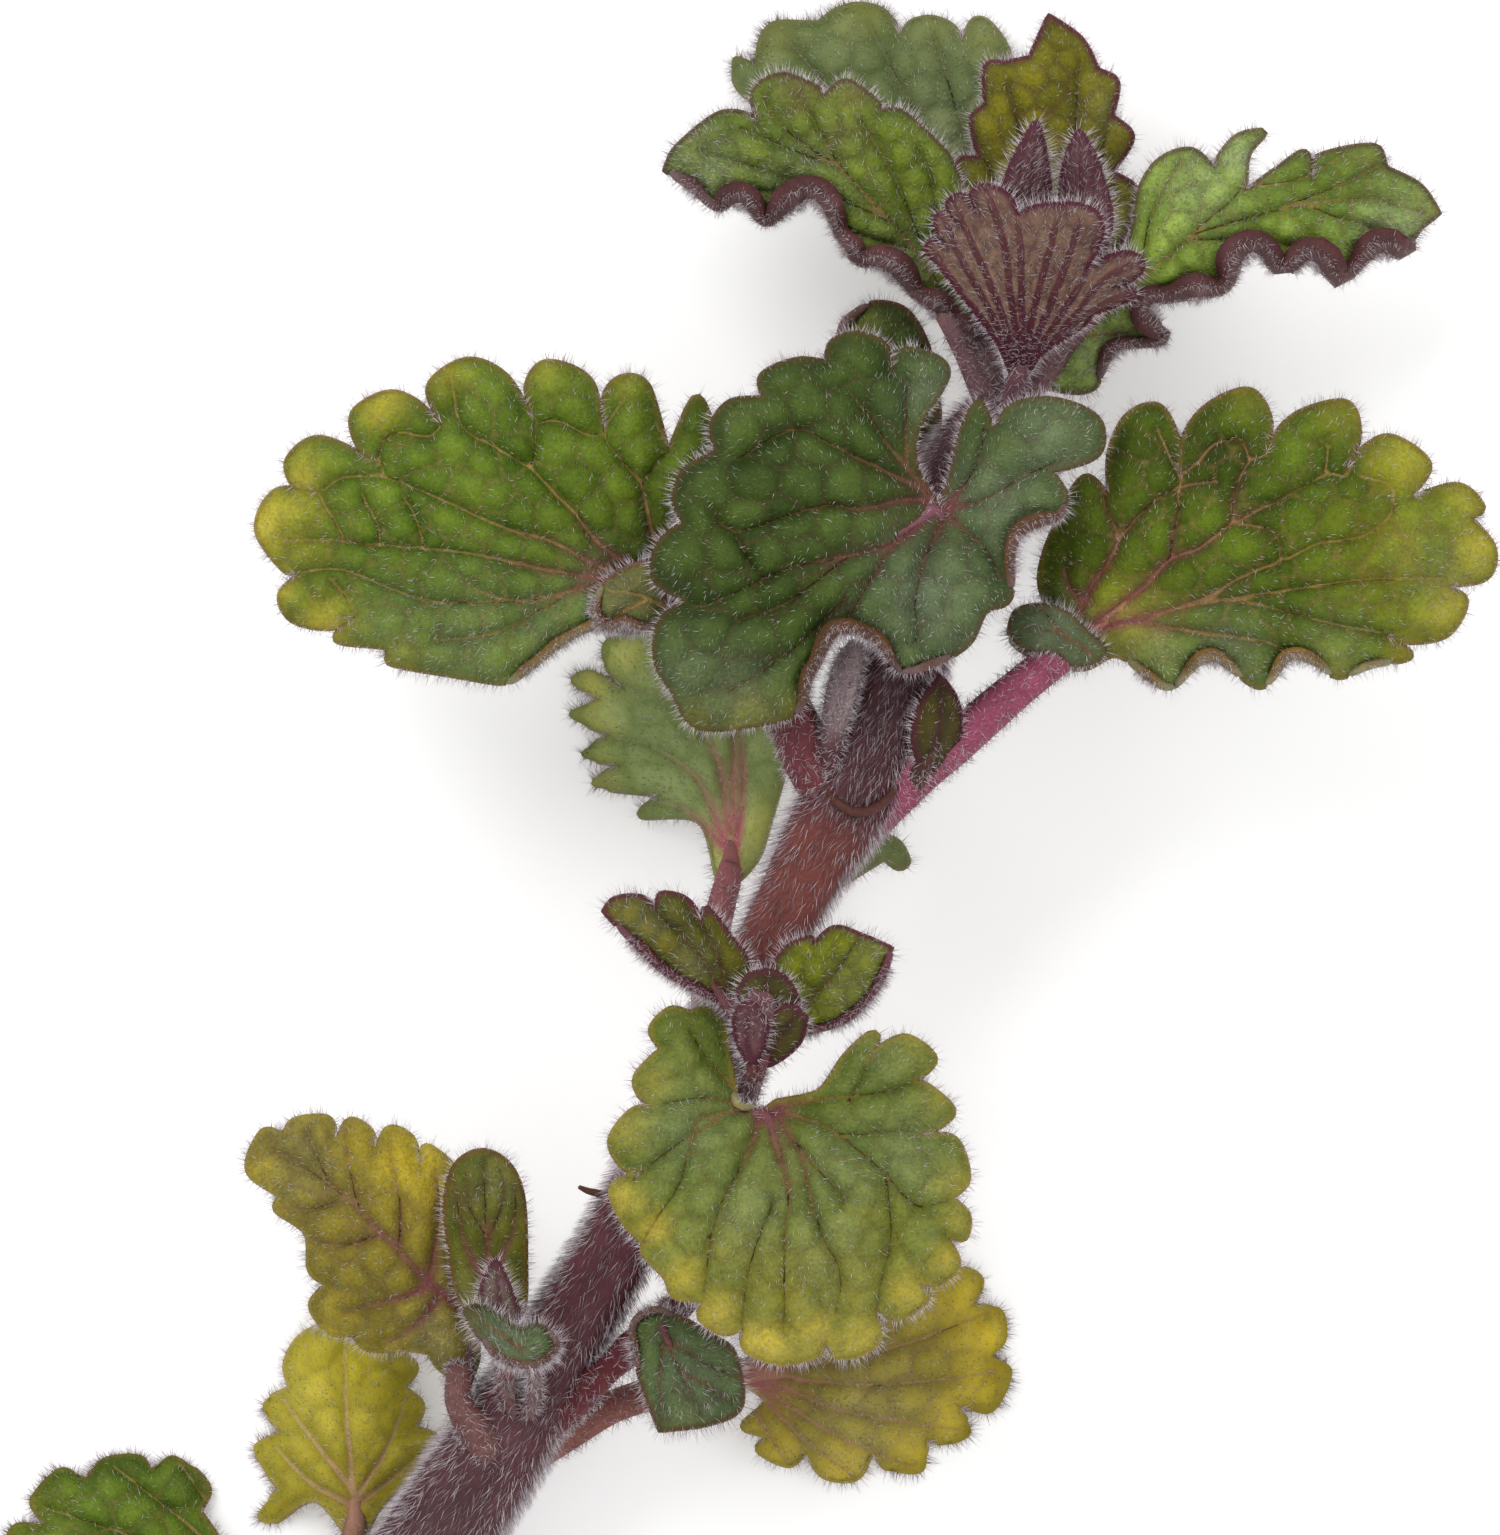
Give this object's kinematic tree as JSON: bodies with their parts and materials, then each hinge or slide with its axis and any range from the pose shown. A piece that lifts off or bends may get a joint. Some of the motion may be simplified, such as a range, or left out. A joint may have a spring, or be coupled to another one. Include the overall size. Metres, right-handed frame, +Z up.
{
  "type": "catmint shoot",
  "caption": "Cut shoot of a downy catmint with a bent woolly stem and opposite pairs of soft, scalloped, quilted leaves, lying on a surface",
  "frame": {"origin": "on the surface the shoot lies on, below the middle of its bounding box", "axes": "+Z up from the surface; +Y along the shoot from its cut end towards its tip; +X to the right when seen from above with the tip away from the viewer"},
  "size_m": [0.0504, 0.0584, 0.0169],
  "materials": {
    "stem": "maroon to reddish-brown skin under a dense silvery wool",
    "leaf_green": "soft quilted mid-green blade with tan veins, yellow lobe tips and short silvery down",
    "leaf_dark": "soft quilted dark grey-green blade with purple-brown veins and rim and silvery down",
    "leaf_yellow": "ageing yellow-green blade with pale veins and short down",
    "leaf_purple": "young purple-tinged blade with deep purple veins and long silvery down"
  },
  "bodies": {
    "root": {"stem": "stem", "side_shoot": "stem", "leaf_left": "leaf_green", "leaf_right": "leaf_green", "leaf_front": "leaf_dark", "leaf_back_upper": "leaf_dark", "leaf_front_lower": "leaf_green", "leaf_back_lower": "leaf_green", "leaf_lower_left": "leaf_yellow", "leaf_lower_right": "leaf_yellow", "leaf_bottom_back": "leaf_yellow", "leaf_bottom_left": "leaf_green", "leaf_top_left": "leaf_green", "leaf_top_right": "leaf_green", "leaf_top_back": "leaf_green", "leaf_top_pointed": "leaf_purple", "leaf_young_fan": "leaf_purple", "bud_top_left": "leaf_purple", "bud_top_right": "leaf_purple", "axil_leaf_left": "leaf_dark", "axil_leaf_right": "leaf_dark", "axil_leaf_back": "leaf_green", "axil_leaf_erect": "leaf_green", "axil_leaf_small": "leaf_dark", "axil_leaf_grey": "leaf_dark", "axil_shoot": "leaf_purple", "axil_bud_left": "leaf_purple", "axil_bud_right": "leaf_dark", "axil_bud_lower": "leaf_purple"}
  },
  "joints": []
}
